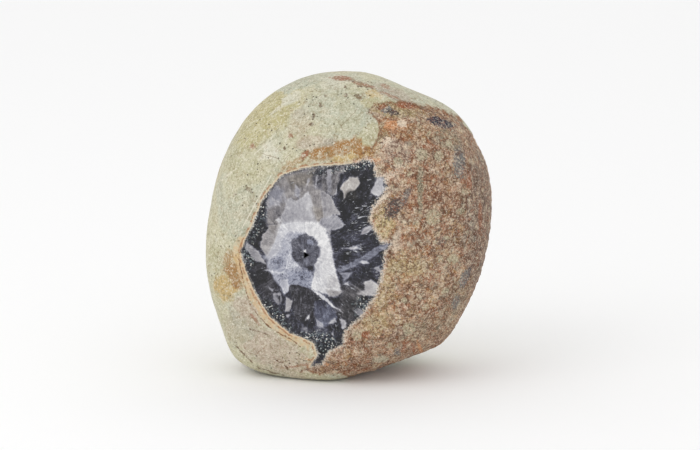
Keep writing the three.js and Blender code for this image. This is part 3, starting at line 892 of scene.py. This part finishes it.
def quartz_mosaic(s):
    """The polished quartz: its colour, with painted shade inside the cavity, and how much of it is tiny
    crystals.
    """
    pit = ((PIT_CENTRE[0] + HEART[0]), -FACE_SETBACK + HEART[1], (PIT_CENTRE[1] + HEART[2]))
    offset = s.vector("SUBTRACT", s.place, pit)
    reach = s.vector("LENGTH", offset)
    ray = s.vector("NORMALIZE", offset)

    def streaks(fineness, stretch, detail=3):
        """Noise drawn out along lines from the cavity."""
        along = s.add("CombineXYZ")
        s.feed(along.inputs[1], s.math("MULTIPLY", reach, stretch))
        where = s.vector("ADD", s.vector("SCALE", ray, scale=fineness), along.outputs[0])
        return s.noise(1.0, detail, 0.6, place=where)

    fan = streaks(9, 0.09)
    fibre = streaks(32, 0.14)
    painted = s.field("tone")
    bright = s.between(painted, 0.3, 0.6)
    dull = s.math("SUBTRACT", 1.0, bright)
    _, shard = s.cells(5.5, s.warped(7, 2.2))
    _, splinter = s.cells(2.0, s.warped(3, 1.0), shift=17)
    shard_kind, splinter_kind = s.split(shard)[0], s.split(splinter)[0]
    frost = s.between(s.field("warmth"), -0.42, -0.62)
    speckle = s.times(s.between(s.noise(1.0, 3, 0.75, shift=44), 0.52, 0.62), frost, bright)
    blotch = s.times(s.between(s.noise(3.2, 4, 0.7, shift=46), 0.54, 0.64), frost, bright)
    cloud = s.noise(7, 5, 0.65, shift=21)
    outline = s.times(s.between(s.field("seam"), 1.1, 0.3), bright)
    wisp = s.math("ABSOLUTE", s.total(s.noise(5, 3, 0.55, place=s.warped(3, 1.2), shift=13), -0.5))
    wisp = s.between(wisp, 0.022, 0.004)
    tone = s.total(
        painted,
        (s.total(fan, -0.5), 0.30),
        (s.times(s.total(fibre, -0.5), dull), 0.42),
        (s.times(s.total(fibre, -0.5), bright), 0.25),
        (s.times(s.total(shard_kind, -0.5), dull), 0.12),
        (s.total(splinter_kind, -0.5), 0.08),
        (s.times(s.total(cloud, -0.5), bright), 0.50),
        (s.times(s.total(cloud, -0.5), dull), 0.35),
        (s.total(s.noise(1.2, 3, 0.7), -0.5), 0.26),
        (speckle, -0.26),
        (blotch, -0.16),
        (outline, 0.09),
        (s.times(wisp, bright), 0.10),
        (s.times(wisp, dull), 0.12),
    )
    cool = s.ramp(tone, [
        (0.0, tint(8, 8, 13)), (0.13, tint(30, 31, 43)), (0.28, tint(72, 74, 92)),
        (0.50, tint(124, 129, 149)),
        (0.70, tint(167, 171, 188)), (0.90, tint(208, 210, 219)), (1.0, tint(232, 232, 237)),
    ])
    warm = s.ramp(tone, [
        (0.0, tint(12, 10, 10)), (0.13, tint(36, 33, 32)), (0.28, tint(80, 76, 73)),
        (0.50, tint(140, 133, 127)),
        (0.70, tint(178, 171, 163)), (0.90, tint(212, 208, 201)), (1.0, tint(232, 230, 225)),
    ])
    colour = s.mix(s.math("MULTIPLY_ADD", s.field("warmth"), 0.5, 0.5), cool, warm)

    # white flecks strung along the fibres in the dark quartz, and dashes in bands on the right
    fleck = s.times(
        s.between(streaks(42, 0.3, 4), 0.6, 0.68), s.between(s.noise(5, 3, shift=35), 0.5, 0.62), dull,
    )
    colour = s.mix(s.times(fleck, 0.7), colour, tint(184, 186, 196))
    dash = s.between(
        s.total(s.noise(0.9, 3, 0.6, place=s.drawn_out(4, 4.5)), (s.field("dashes"), 0.12)), 0.67, 0.74,
    )
    colour = s.mix(s.times(dash, dull, 0.8), colour, tint(206, 208, 214))

    # tiny crystals along the edge, and in the dark corners
    depth = s.total(s.field("quartz"), (s.noise(3.5, 3, shift=5), 5.0), -2.5)
    edge_druse = s.times(s.between(depth, 2.2, 0.4), 0.6)
    crowd = s.between(s.total(s.field("druse"), (s.noise(5, 3, 0.6, shift=65), 0.9)), 0.8, 1.2)
    druse = s.math("MAXIMUM", edge_druse, s.times(crowd, s.math("MULTIPLY_ADD", dull, 0.75, 0.1)))
    _, grit = s.cells(0.7, shift=8)
    grit_kind = s.split(grit)
    sparkle = s.ramp(grit_kind[0], [
        (0.0, tint(6, 8, 12)), (0.55, tint(24, 28, 36)), (0.70, tint(72, 80, 88)),
        (0.84, tint(128, 142, 144)),
        (0.92, tint(196, 196, 192)), (1.0, tint(236, 232, 224)),
    ])
    colour = s.mix(s.times(druse, s.between(grit_kind[1], 0.2, 0.6)), colour, sparkle)
    lip = s.times(s.between(depth, 0.9, -0.3), s.between(s.noise(2.2, 2, shift=12), 0.42, 0.56))
    colour = s.mix(s.times(lip, 0.65), colour, tint(208, 202, 190))
    # the cavity's walls are painted near black: painted shade inside the hole
    return s.mix(s.field("pit"), colour, tint(8, 8, 10)), druse


def geode_material():
    """One stone through and through: skin, bare rock and quartz meet along wandering edges."""
    material = bpy.data.materials.new("geode_stone")
    s = Shading(material)
    skin_colour, skin_height = skin(s)
    rock_colour, rock_height = rock(s)
    quartz_colour, druse = quartz_mosaic(s)

    wander = s.total((s.noise(2.2, 5, 0.75, shift=3), 4.4), -2.2)
    bare = s.total(s.field("bare"), wander)
    bare_share = s.between(bare, -0.2, 0.2)
    colour = s.mix(bare_share, cream_rim(s, skin_colour), rock_colour)
    rusted = s.times(s.between(bare, -1.6, -0.1), s.between(bare, 1.3, 0.1))
    rusted = s.times(rusted, s.between(s.noise(4, 4, 0.7, shift=27), 0.42, 0.58))
    colour = s.mix(s.times(rusted, 0.75), colour, tint(138, 88, 52))

    # where the rock meets the quartz they end in pale crumbs and teeth
    by_rock = s.between(s.field("bare"), -2.0, 2.0)
    teeth = s.math("MULTIPLY_ADD", by_rock, 2.4, 0.8)
    comb = s.times(s.total(s.noise(1.3, 4, 0.75, shift=9), -0.5), teeth, 2.0)
    quartz = s.total(s.field("quartz"), comb)
    quartz_share = s.between(quartz, -0.15, 0.15)
    colour = s.mix(quartz_share, colour, quartz_colour)
    crumbs = s.times(s.between(quartz, -2.2, -0.2), s.between(quartz, 1.6, 0.3))
    crumbs = s.times(crumbs, s.between(s.noise(1.0, 4, 0.75, shift=19), 0.42, 0.56))
    crumb_share = s.times(crumbs, s.math("MULTIPLY_ADD", by_rock, 0.5, 0.25))
    colour = s.mix(crumb_share, colour, tint(232, 218, 202))

    s.feed(s.shader.inputs["Base Color"], colour)
    s.feed(s.shader.inputs["Specular IOR Level"], 0.4)

    worn = s.total(0.62, (s.noise(5, 3), 0.18), (bare_share, 0.06))
    glossy = s.total(0.16, (s.noise(9, 2), 0.08), (druse, 0.3))
    roughness = s.total(worn, s.times(quartz_share, s.math("SUBTRACT", glossy, worn)))
    s.feed(s.shader.inputs["Roughness"], roughness)

    stone_height = s.total(skin_height, s.times(bare_share, s.math("SUBTRACT", rock_height, skin_height)))
    height = s.times(stone_height, s.math("SUBTRACT", 1.0, quartz_share))
    height = s.total(height, (s.times(quartz_share, druse, s.noise(0.9, 2)), 0.2))
    bump = s.add("Bump")
    s.feed(bump.inputs["Distance"], MM)
    s.feed(bump.inputs["Strength"], 1.0)
    s.feed(bump.inputs["Height"], height)
    s.feed(s.shader.inputs["Normal"], bump.outputs[0])
    return material


stone = build_stone()
stone.data.materials.append(geode_material())
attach(stone, "root")
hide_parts("geode_half")

# ----------------------------------------------------------------------------------------------------
# Floor, light and camera.

FLOOR_SIZE = 8.0
LENS = 200  # millimetres, on a 36 mm sensor: a long lens, so the stone is seen almost without perspective
SENSOR = 36
FRAME_WIDTH = 0.434  # what the picture's width takes in at the stone


def add_floor():
    mesh = bpy.data.meshes.new("floor")
    half = FLOOR_SIZE / 2
    mesh.from_pydata(
        [(-half, -half, 0), (half, -half, 0), (half, half, 0), (-half, half, 0)], [], [(0, 1, 2, 3)],
    )
    floor = bpy.data.objects.new("floor", mesh)
    material = bpy.data.materials.new("pale_floor")
    material.use_nodes = True
    shader = material.node_tree.nodes["Principled BSDF"]
    shader.inputs["Base Color"].default_value = (0.98, 0.98, 0.98, 1)
    shader.inputs["Roughness"].default_value = 0.9
    mesh.materials.append(material)
    bpy.context.scene.collection.objects.link(floor)


def add_light(name, place, size, power, target):
    lamp = bpy.data.lights.new(name, "AREA")
    lamp.size = size
    lamp.energy = power
    light = bpy.data.objects.new(name, lamp)
    light.location = place
    light.rotation_euler = (Vector(target) - Vector(place)).to_track_quat("-Z", "Y").to_euler()
    bpy.context.scene.collection.objects.link(light)


def add_world(strength):
    world = bpy.data.worlds.new("studio")
    world.use_nodes = True
    background = world.node_tree.nodes["Background"]
    background.inputs["Color"].default_value = (1, 1, 1, 1)
    background.inputs["Strength"].default_value = strength
    bpy.context.scene.world = world


def add_camera():
    lens = bpy.data.cameras.new("camera")
    lens.lens = LENS
    lens.sensor_width = SENSOR
    camera = bpy.data.objects.new("camera", lens)
    towards = Vector(GIRTH_AXIS)  # the camera looks square on to the widest section
    camera.location = Vector(HEART) * MM + towards * (FRAME_WIDTH * LENS / SENSOR)
    camera.rotation_euler = (-towards).to_track_quat("-Z", "Y").to_euler()
    bpy.context.scene.collection.objects.link(camera)
    bpy.context.scene.camera = camera


middle = tuple(HEART * MM)
bpy.context.scene.view_settings.view_transform = "Standard"  # shows the stone's colours as they are set
add_floor()
add_world(0.93)
add_light("key", (-0.9, -1.1, 1.3), 1.2, 5, middle)
add_camera()
